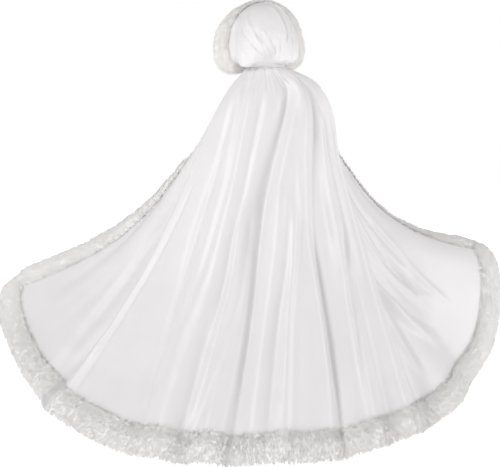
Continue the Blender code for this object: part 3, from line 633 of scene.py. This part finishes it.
def roll_point(place, outwards, edgewards, half, turn):
    """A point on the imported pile, and its way out.

    turn runs from 0 at the free edge over the outer face to half a circle at the seam, and a negative
    one runs over the inner face. Over the free half of the band the pile is a flat half ellipse, and
    towards the seam it comes down in a smooth slope to a tenth. The soft clumps raise it.
    """
    past = np.clip(-np.cos(turn), 0.0, 1.0)
    ahead = np.clip(np.cos(turn), 0.0, 1.0)
    face_side = np.where(turn < 0.0, -1.0, 1.0)
    arc = np.abs(np.sin(turn))
    slope = 1.0 - SEAM_THINNING * past * past * (3.0 - 2.0 * past)
    rise = face_side * np.where(ahead > 0.0, arc, slope)
    upright = face_side * np.where(ahead > 0.0, arc, 1.0)
    tilt = FUR_FLATNESS * (ahead - 6.0 * SEAM_THINNING * past * (1.0 - past))
    away = unit(outwards * upright[..., None] + edgewards * tilt[..., None])
    root = place + outwards * half * FUR_BODY_SHARE * rise[..., None]
    loose = 1.0 - blend(0.65 * math.pi, 0.95 * math.pi, np.abs(turn))
    return root + away * (half / FUR_HALF_THICKNESS) * (loose * clumps(root, BODY_SEED))[..., None], away


def body_of(frame_grid):
    """The band's packed pile: its outer and inner faces, closed into loops with flat ends.

    Next to the seam its kept normals are the pile's way out, so that its thin end doesn't show.
    """
    place, outwards, edgewards, half = (frame_grid[..., :3], frame_grid[..., 3:6], frame_grid[..., 6:9],
                                        frame_grid[..., 9:])
    turn = np.linspace(0.0, math.pi, place.shape[1]) + 0.0 * place[..., 0]
    over, over_way = roll_point(place, outwards, edgewards, half, turn)
    under, under_way = roll_point(place, outwards, edgewards, half, -turn)
    loops = np.concatenate([over[:, ::-1], under[:, 1:-1]], axis=1)
    near_seam = (turn > 0.7 * math.pi)[..., None]
    kept = np.concatenate([(over_way * near_seam)[:, ::-1], (under_way * near_seam)[:, 1:-1]], axis=1)
    count, around = loops.shape[:2]
    index = np.arange(count * around).reshape(count, around)
    ahead = np.roll(index, -1, axis=1)
    sides = np.stack([index[:-1], ahead[:-1], ahead[1:], index[1:]], axis=-1).reshape(-1, 4)
    half_way = around // 2
    step = np.arange(1, half_way)
    first = np.stack([index[0, step - 1], index[0, (around - step + 1) % around],
                      index[0, around - step], index[0, step]], axis=-1)
    last = np.stack([index[-1, step], index[-1, around - step],
                     index[-1, (around - step + 1) % around], index[-1, step - 1]], axis=-1)
    first_tip = np.stack([index[0, half_way - 1], index[0, half_way + 1], index[0, half_way]])[None]
    last_tip = np.stack([index[-1, half_way], index[-1, half_way + 1], index[-1, half_way - 1]])[None]
    faces = [np.concatenate([sides, first[1:], last[1:]]),
             np.concatenate([first[:1, [0, 2, 3]], last[:1, [0, 1, 3]], first_tip, last_tip])]
    turned = np.cross(np.gradient(place, axis=1), np.gradient(place, axis=0))
    if (turned * outwards).sum() > 0.0:
        faces = [part[:, ::-1] for part in faces]
    return loops.reshape(-1, 3), faces, kept.reshape(-1, 3)


def locks_of(frame_grid, count, length, thickness, seed, side=0):
    """Locks of pile all over a band: three-sided, bent once, and drawn together by a slow swirl.

    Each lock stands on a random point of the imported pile, as many on each length of its free edge, and
    on top of the pile near the thin seam. It starts between straight out and the way to the free edge,
    and its tip leans on along that way and down. At the seam it leans over the cloth instead. side is 1
    for the outer face alone, -1 for the inner one, and 0 for both. Each point's kept normal is mostly
    the band's own way out, as light that scatters in a deep pile follows the pile's form more than one
    hair's. Round the free edge, where a lock is seen from both sides, it keeps none.
    """
    rng = np.random.default_rng(seed)
    steps = np.linalg.norm(np.diff(frame_grid[:, 0, :3], axis=0), axis=-1)
    far = np.concatenate([[0.0], np.cumsum(steps)])
    run = np.interp(rng.uniform(0.0, far[-1], count), far, np.linspace(0.0, 1.0, far.size))
    if side == 0:
        face_side = np.where(rng.uniform(size=count) < INNER_SHARE, -1.0, 1.0)
    else:
        face_side = np.full(count, side)
    turn = rng.uniform(np.where(face_side > 0.0, 0.0, INNER_START), LAST_TURN)
    data = read_grid(frame_grid, run, turn / math.pi)
    place, outwards, edgewards, half = data[:, :3], unit(data[:, 3:6]), unit(data[:, 6:9]), data[:, 9:]
    root, away = roll_point(place, outwards, edgewards, half, turn * face_side)
    swirl = np.stack([ripple(root, 10, FINE_SWIRL, seed + 1 + axis) for axis in range(3)], axis=-1)
    broad = np.stack([ripple(root, 10, BROAD_SWIRL, seed + 5 + axis) for axis in range(3)], axis=-1)
    swirl += BROAD_SWIRL_SHARE * broad
    swirl -= (swirl * away).sum(axis=-1, keepdims=True) * away
    scale = (half / FUR_HALF_THICKNESS) * rng.uniform(*LOCK_SCALES, (count, 1))
    reach = length * scale
    lay = edgewards + PILE_DROOP
    lay = lay - (lay * away).sum(axis=-1, keepdims=True) * away
    lay = lay * (1.0 - 1.8 * blend(0.74 * math.pi, LAST_TURN, turn))[:, None]
    start = unit(0.34 * away + 0.88 * lay + 0.24 * swirl + 0.05 * rng.normal(size=(count, 3)))
    finish = unit(start + 0.5 * lay + 0.16 * swirl + 0.06 * rng.normal(size=(count, 3)))
    waist = root + 0.5 * reach * start
    tip = waist + 0.5 * reach * finish
    across = unit(np.cross(start, rng.normal(size=(count, 3))))
    beside = np.cross(start, across)
    angle = 2.0 * math.pi * np.arange(LOCK_SIDES) / LOCK_SIDES
    ring = (across[:, None] * np.cos(angle)[:, None] + beside[:, None] * np.sin(angle)[:, None])
    near_seam = blend(0.60 * math.pi, 0.88 * math.pi, turn)[:, None]
    thick = (thickness * scale * (1.0 - 0.4 * near_seam))[:, None]
    sunk = 0.2 * reach * (1.0 - near_seam) - 1.1 * thick[:, 0] * near_seam
    foot = (root - sunk * away)[:, None] + thick * ring
    knee = (waist + 0.5 * thick[:, 0] * near_seam * away)[:, None] + 0.75 * thick * ring
    points = np.concatenate([foot, knee, tip[:, None]], axis=1)
    soft = away + 0.5 * outwards * (face_side * np.sin(turn))[:, None]
    soft = soft[:, None] + 0.15 * np.concatenate([ring, ring, finish[:, None]], axis=1)
    low = np.arange(LOCK_SIDES)
    high = (low + 1) % LOCK_SIDES
    pattern = np.concatenate([
        np.stack([low, high, high + LOCK_SIDES], axis=-1),
        np.stack([low, high + LOCK_SIDES, low + LOCK_SIDES], axis=-1),
        np.stack([low + LOCK_SIDES, high + LOCK_SIDES, np.full(LOCK_SIDES, 2 * LOCK_SIDES)], axis=-1),
    ])
    faces = pattern + (2 * LOCK_SIDES + 1) * np.arange(count)[:, None, None]
    soft = unit(soft) * (turn > EDGE_TURN)[:, None, None]
    height = np.tile(np.repeat([0.0, 0.55, 1.0], [LOCK_SIDES, LOCK_SIDES, 1]), count)
    own_tone = np.repeat(rng.uniform(0.0, 1.0, count), 2 * LOCK_SIDES + 1)
    return points.reshape(-1, 3), faces.reshape(-1, 3), height, own_tone, soft.reshape(-1, 3)


def fur_piece(name, body, piles):
    """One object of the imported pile, if any, and its locks, with each point's height and tone kept."""
    points, faces, heights, tones, normals = [], [], [], [], []
    total = 0
    if body is not None:
        points.append(body[0])
        faces.extend(body[1])
        heights.append(np.full(len(body[0]), BODY_HEIGHT))
        tones.append(np.full(len(body[0]), 0.5))
        normals.append(body[2])
        total = len(body[0])
    for pile_points, pile_faces, height, tone, normal in piles:
        points.append(pile_points)
        faces.append(pile_faces + total)
        heights.append(height)
        tones.append(tone)
        normals.append(normal)
        total += len(pile_points)
    piece = mesh_of(name, np.concatenate(points), faces)
    for label, values in (("pile_height_for_shade", heights), ("pile_tone", tones)):
        kept = piece.data.attributes.new(label, "FLOAT", "POINT")
        kept.data.foreach_set("value", np.concatenate(values))
    piece.data.normals_split_custom_set_from_vertices(np.concatenate(normals).tolist())
    piece.data.materials.append(plush)
    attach(piece, "root")
    return piece


def plush_finish():
    """White faux fur: darker and a little warmer towards its roots, where the darkness is painted shade deep
    in the pile, lighter at its tips, each lock its own.
    """
    finish, shader, place = new_finish("plush", (0.84, 0.83, 0.81, 1.0))
    height = place.kept("pile_height_for_shade")
    own = place.kept("pile_tone")
    clouds = place.noise(9.0, 3.0)
    strands = place.noise(420.0, 2.0)
    # Painted shade: the height along a lock makes its root, and the packed pile between the locks, darker
    # than its tip.
    tone = height ** 0.7 * 0.45 + 0.20 * own + 0.35 * clouds
    tone.mix((0.855, 0.833, 0.813, 1.0), (0.955, 0.935, 0.918, 1.0)).feeds(shader, "Base Color")
    (0.72 + 0.2 * strands).feeds(shader, "Roughness")
    place.raised(strands, 0.3, 0.0008).feeds(shader, "Normal")
    shader.inputs["Sheen Weight"].default_value = 0.7
    shader.inputs["Sheen Roughness"].default_value = 0.5
    return finish


def rounded(points):
    """Band points drawn in along the mitres near the two hem corners, so that these are round.

    The draw is full at the corner itself and dies away around it by a bell.
    """
    edge = np.array([0.0, LAST_RIB])
    inner_t = np.full(2, HEM_SEAM_T)
    inwards = np.array([1.0, -1.0]) * np.concatenate([fur_spans(inner_t[:1], edge[0], 1.0),
                                                      fur_spans(inner_t[1:], edge[1], -1.0)])
    corners = cape(edge, np.ones(2))
    for corner, inner in zip(corners, cape(edge + inwards, inner_t)):
        near = np.exp(-((np.linalg.norm(points - corner, axis=-1, keepdims=True) / CORNER_BELL) ** 2))
        points = points + CORNER_DRAW * near * unit(inner - corner)
    return points


plush = plush_finish()
mitre_t = np.linspace(0.0, 1.0, 281)[:, None] ** CLOSER_AT_NECK
mitre_t = mitre_t * (HEM_SEAM_T + (1.0 - HEM_SEAM_T) * (1.0 - ACROSS))

# Each front band's free edge as a rib, the way from there into the cloth, and the seed of its locks.
FRONT_BANDS = {"trim_front_left": (0.0, 1.0, 21), "trim_front_right": (LAST_RIB, -1.0, 22)}
for name, (edge, inwards, seed) in FRONT_BANDS.items():
    u = edge + inwards * ACROSS * fur_spans(mitre_t, edge, inwards)
    half = FUR_HALF_THICKNESS * (0.4 + 0.6 * blend(0.0, 2.0 * SHOULDER_T, mitre_t))
    grid = band_frame(rounded(creased_cape(u, mitre_t)), normals_of(cape, u, mitre_t), half)
    locks = locks_of(grid, count=9700, length=0.014, thickness=0.0016, seed=seed)
    band = fur_piece(name + "_fur", body_of(grid), [locks])
    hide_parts(name)

hem_t = 1.0 - (1.0 - HEM_SEAM_T) * ACROSS
hem_share = np.linspace(0.0, 1.0, 901)[:, None]
hem_left = fur_spans(hem_t, 0.0, 1.0) * ACROSS
hem_right = LAST_RIB - fur_spans(hem_t, LAST_RIB, -1.0) * ACROSS
u = hem_left + (hem_right - hem_left) * hem_share
t = hem_t + 0.0 * u
half = np.full(t.shape, FUR_HALF_THICKNESS)
grid = band_frame(rounded(creased_cape(u, t)), normals_of(cape, u, t), half)
outer_locks = locks_of(grid, count=21500, length=0.015, thickness=0.0019, seed=31, side=1)
inner_locks = locks_of(grid, count=8000, length=0.020, thickness=0.0030, seed=32, side=-1)
hem = fur_piece("trim_hem_fur", body_of(grid), [inner_locks])
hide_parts("trim_hem")
fur_piece("trim_hem_outer_pile", None, [outer_locks])


# The hood: one piece of the same velour, smooth over the crown, hanging out over the neck seam in a soft
# pouch on the left, and pleated in at the nape. A ring of the same fur is sewn round its face opening.
HOOD_COLUMNS = ("b", "foot", "side_x", "side_y", "side_z", "crown_x", "crown_y", "crown_z")
HOOD_ARCHES = {
    "face_edge": (0.00, 168, 0.250, -0.105, -0.105, 0.262, -0.110, 0.264),
    "fur_seam":  (0.22, 148, 0.185, -0.055, -0.030, 0.158, -0.055, 0.265),
    "temple":    (0.42, 118, 0.165, 0.020, 0.000, 0.125, 0.025, 0.262),
    "crown":     (0.62, 80, 0.155, 0.090, 0.010, 0.110, 0.095, 0.232),
    "back":      (0.80, 46, 0.115, 0.128, 0.016, 0.080, 0.138, 0.160),
    "nape":      (0.92, 24, 0.060, 0.128, 0.026, 0.040, 0.136, 0.080),
    "pleats":    (1.00, 14, 0.012, 0.076, 0.0145, 0.006, 0.076, 0.0145),
}
HOOD_SEAM_B = 0.20
HOOD_FOOT_Z = 0.0145
HOOD_TURN_DEG = 14.0
HOOD_SHIFT = 0.003
HOOD_LEAN = 0.06
HOOD_ROLL = 0.16
HOOD_FREE = 0.10
DRAPE = (-0.012, 0.0, -0.028)
POUCH_DROP = 0.016
POUCH_REACH = 0.045
HOOD_FLAT_WIDTH = 0.70
HOOD_FLAT_DEPTH = 0.40       # with the part under the fur

# The hood's creases: arcs on both sides of the crown, pleats that meet at the nape, and drops on the right.
# Each lies on the hood through four places, given as a and b.
HOOD_CREASE_COLUMNS = ("a_a", "b_a", "a_b", "b_b", "a_c", "b_c", "a_d", "b_d", "half_mm", "height_mm")
HOOD_CREASES = {
    "crown_left":      (0.42, 0.22, 0.31, 0.45, 0.28, 0.70, 0.25, 0.90, 6, -5.0),
    "crown_left_lip":  (0.47, 0.28, 0.37, 0.48, 0.34, 0.70, 0.31, 0.87, 8, 3.5),
    "crown_right":     (0.53, 0.44, 0.61, 0.70, 0.67, 0.80, 0.68, 0.90, 6, -5.0),
    "crown_right_b":   (0.58, 0.34, 0.67, 0.60, 0.73, 0.75, 0.77, 0.87, 5, -3.5),
    "crown_right_lip": (0.50, 0.52, 0.57, 0.70, 0.62, 0.79, 0.62, 0.87, 6, 3.0),
    "pleat_a":         (0.29, 0.76, 0.27, 0.84, 0.27, 0.91, 0.42, 0.985, 5, -4.5),
    "pleat_a_ridge":   (0.34, 0.75, 0.33, 0.84, 0.34, 0.91, 0.50, 0.975, 5, 4.0),
    "pleat_b":         (0.37, 0.81, 0.38, 0.89, 0.48, 0.950, 0.70, 0.980, 5, -4.5),
    "pleat_b_ridge":   (0.42, 0.79, 0.43, 0.87, 0.51, 0.930, 0.68, 0.965, 5, 4.0),
    "pleat_c":         (0.47, 0.82, 0.47, 0.89, 0.56, 0.935, 0.78, 0.965, 5, -4.5),
    "pleat_c_ridge":   (0.52, 0.80, 0.53, 0.87, 0.60, 0.915, 0.78, 0.945, 5, 3.5),
    "drop_a":          (0.59, 0.83, 0.61, 0.89, 0.69, 0.930, 0.86, 0.950, 6, -4.0),
    "drop_b":          (0.68, 0.82, 0.72, 0.88, 0.79, 0.905, 0.91, 0.920, 6, 4.5),
    "drop_c":          (0.72, 0.72, 0.77, 0.80, 0.84, 0.820, 0.93, 0.830, 7, -5.0),
    "drop_d":          (0.75, 0.58, 0.81, 0.68, 0.88, 0.700, 0.96, 0.720, 7, 4.5),
    "drop_e":          (0.80, 0.34, 0.86, 0.44, 0.92, 0.500, 0.98, 0.530, 8, -4.5),
    "side_left":       (0.33, 0.26, 0.26, 0.31, 0.19, 0.410, 0.13, 0.600, 8, -4.0),
    "side_left_b":     (0.30, 0.36, 0.24, 0.48, 0.19, 0.660, 0.14, 0.840, 8, 4.0),
    "pouch_fold":      (0.15, 0.28, 0.12, 0.50, 0.09, 0.700, 0.06, 0.900, 7, 4.0),
}


def hood(a, b):
    """The middle of the hood's cloth wall.

    a runs over each arch from its left foot to its right one, and b from the face edge to the nape. An
    arch is two cubic Bezier curves that meet at its apex, and its control points follow splines in b. A
    bell over the left feet drops the pouch. The drape draws the low part of the right side in and down.
    The whole is then turned about the neck, and leans and rolls to one side, all but its feet.
    """
    knots = column(HOOD_ARCHES, HOOD_COLUMNS, "b")
    foot = on_neck(spline(knots, column(HOOD_ARCHES, HOOD_COLUMNS, "foot"), b), z=HOOD_FOOT_Z)
    side = spline(knots, points_of(HOOD_ARCHES, HOOD_COLUMNS, "side"), b)
    crown = spline(knots, points_of(HOOD_ARCHES, HOOD_COLUMNS, "crown"), b)
    apex = crown * (0.0, 1.0, 1.0)
    s = (1.0 - np.abs(2.0 * a - 1.0))[..., None]
    arch = ((1.0 - s) ** 3 * foot + 3.0 * s * (1.0 - s) ** 2 * side
            + 3.0 * s ** 2 * (1.0 - s) * crown + s ** 3 * apex)
    free = blend(0.0, HOOD_FREE, np.linalg.norm(arch - foot, axis=-1))
    pouch = np.exp(-((np.linalg.norm(arch - foot, axis=-1) / POUCH_REACH - 1.0) / 0.45) ** 2)
    drape = free * blend(0.55, 0.80, a) * blend(0.14, 0.03, arch[..., 2])
    arch[..., 2] -= POUCH_DROP * pouch * blend(0.75, 0.45, a) * blend(0.25, 0.5, b) * blend(0.98, 0.8, b)
    arch[..., 0] *= np.where(a > 0.5, -1.0, 1.0)
    arch += drape[..., None] * DRAPE
    across, back = arch[..., 0].copy(), arch[..., 1].copy()
    turn = math.radians(HOOD_TURN_DEG) * free
    arch[..., 0] = across * np.cos(turn) - back * np.sin(turn)
    arch[..., 1] = across * np.sin(turn) + back * np.cos(turn)
    arch[..., 0] += free * (HOOD_SHIFT + HOOD_LEAN * arch[..., 2])
    arch[..., 2] -= free * HOOD_ROLL * across
    return arch


a, b = np.meshgrid(np.linspace(0.0, 1.0, 161), np.linspace(HOOD_SEAM_B, 1.0, 101), indexing="ij")
smooth = hood(a, b)
outwards = normals_of(hood, np.clip(a, 0.01, 0.99), np.clip(b, 0.0, 0.99), 0.01, 0.01)
height = 0.0015 * ripple(smooth, 16, 0.07, 9)
for row in HOOD_CREASES.values():
    crease = dict(zip(HOOD_CREASE_COLUMNS, row))
    line = hood(bowed(crease, "a"), bowed(crease, "b"))
    height += line_height(smooth, line, 0.001 * crease["half_mm"], 0.001 * crease["height_mm"])
kept = blend(0.0, 0.04, a) * blend(0.0, 0.04, 1.0 - a) * blend(0.0, 0.05, 1.0 - b)
cloth = smooth + outwards * (kept * height)[..., None]
cut = np.stack([HOOD_FLAT_WIDTH * a, HOOD_FLAT_DEPTH * b], axis=-1)
hood_cloth = shell_of("hood_cloth", cloth, cut, (face, reverse))
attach(hood_cloth, "root")
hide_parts("hood")

a = np.linspace(0.02, 0.98, 201)[:, None]
b = HOOD_SEAM_B * ACROSS + 0.0 * a
a = a + 0.0 * b
half = FUR_HALF_THICKNESS * (0.4 + 0.6 * blend(0.0, 0.2, a) * blend(0.0, 0.2, 1.0 - a))
grid = band_frame(hood(a, b), normals_of(hood, a, b, 0.01, 0.01), half)
locks = locks_of(grid, count=8500, length=0.013, thickness=0.0015, seed=41)
ring = fur_piece("trim_hood_fur", body_of(grid), [locks])
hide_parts("trim_hood")


# The neck band: a narrow bias binding over the seam between hood and cape, closed at the throat with a
# steel hook and eye. The binding is the cape's own velour, and hook and eye are bent spring wire.
binding, shader, place = new_finish("neck_binding", (0.80, 0.79, 0.80, 1.0))
twill = place.noise(900.0, 2.0)
clouds = place.noise(30.0, 2.0)
clouds.mix((0.74, 0.73, 0.74, 1.0), (0.82, 0.81, 0.82, 1.0)).feeds(shader, "Base Color")
(0.45 + 0.2 * twill).feeds(shader, "Roughness")
place.raised(twill, 0.4, 0.0004).feeds(shader, "Normal")
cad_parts["neck_band"].data.materials[0] = binding

wire, shader, place = new_finish("spring_wire", (0.60, 0.60, 0.61, 1.0))
drawn = place.noise(1500.0, 2.0)
drawn.mix((0.52, 0.52, 0.53, 1.0), (0.68, 0.68, 0.69, 1.0)).feeds(shader, "Base Color")
(0.22 + 0.2 * drawn).feeds(shader, "Roughness")
shader.inputs["Metallic"].default_value = 1.0
for name in ("neck_hook", "neck_eye"):
    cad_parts[name].data.materials[0] = wire


# The studio: a wide pale floor under the hem, a white surround and three large soft lights: a high one at
# the garment's back on its left, beside the camera, one on its right, and one in front of it.
FLOOR_HALF = 9.0
PILE_UNDER_HEM = 0.020       # how far below the solids the locks may reach
low_x, high_x = -FLOOR_HALF, FLOOR_HALF
floor_z = min(cad_box[0][2], cad_box[1][2]) - PILE_UNDER_HEM
corners = np.array([(low_x, low_x, floor_z), (high_x, low_x, floor_z), (high_x, high_x, floor_z),
                    (low_x, high_x, floor_z)])
floor = mesh_of("floor", corners, [np.array([[0, 1, 2, 3]])])
paper, shader, place = new_finish("pale_floor", (0.9, 0.9, 0.9, 1.0))
place.noise(1.5).mix((0.90, 0.90, 0.90, 1.0), (0.92, 0.92, 0.92, 1.0)).feeds(shader, "Base Color")
shader.inputs["Roughness"].default_value = 0.9
shader.inputs["Emission Color"].default_value = (1.0, 1.0, 1.0, 1.0)
shader.inputs["Emission Strength"].default_value = 0.60
floor.data.materials.append(paper)

world = bpy.data.worlds.new("surround")
world.use_nodes = True
surround = world.node_tree.nodes["Background"]
surround.inputs["Color"].default_value = (1.0, 1.0, 1.0, 1.0)
seen = Tone(world.node_tree).node("ShaderNodeLightPath", {}, output="Is Camera Ray")
(0.50 + 0.50 * seen).feeds(surround, "Strength")
bpy.context.scene.world = world

# Each light's place, the point that it faces, its size in metres and its power in watts.
LIGHTS = {
    "key": ((3.9, 3.7, 2.7), (0.0, 0.2, -0.6), 2.0, 146.0),
    "fill": ((-5.4, 1.2, 1.2), (-0.2, 0.2, -0.7), 2.8, 94.0),
    "front": ((-1.0, -5.2, 0.5), (0.0, 0.0, -0.6), 3.0, 80.0),
}
for name, (position, aim, size, watts) in LIGHTS.items():
    lamp = bpy.data.lights.new(name, "AREA")
    lamp.shape = "DISK"
    lamp.size = size
    lamp.energy = watts
    light = bpy.data.objects.new(name, lamp)
    x, y, z = np.array(aim) - np.array(position)
    light.location = position
    light.rotation_euler = (math.atan2(math.hypot(x, y), -z), 0.0, math.atan2(y, x) - 0.5 * math.pi)
    bpy.context.scene.collection.objects.link(light)
bpy.context.scene.view_settings.view_transform = "Standard"
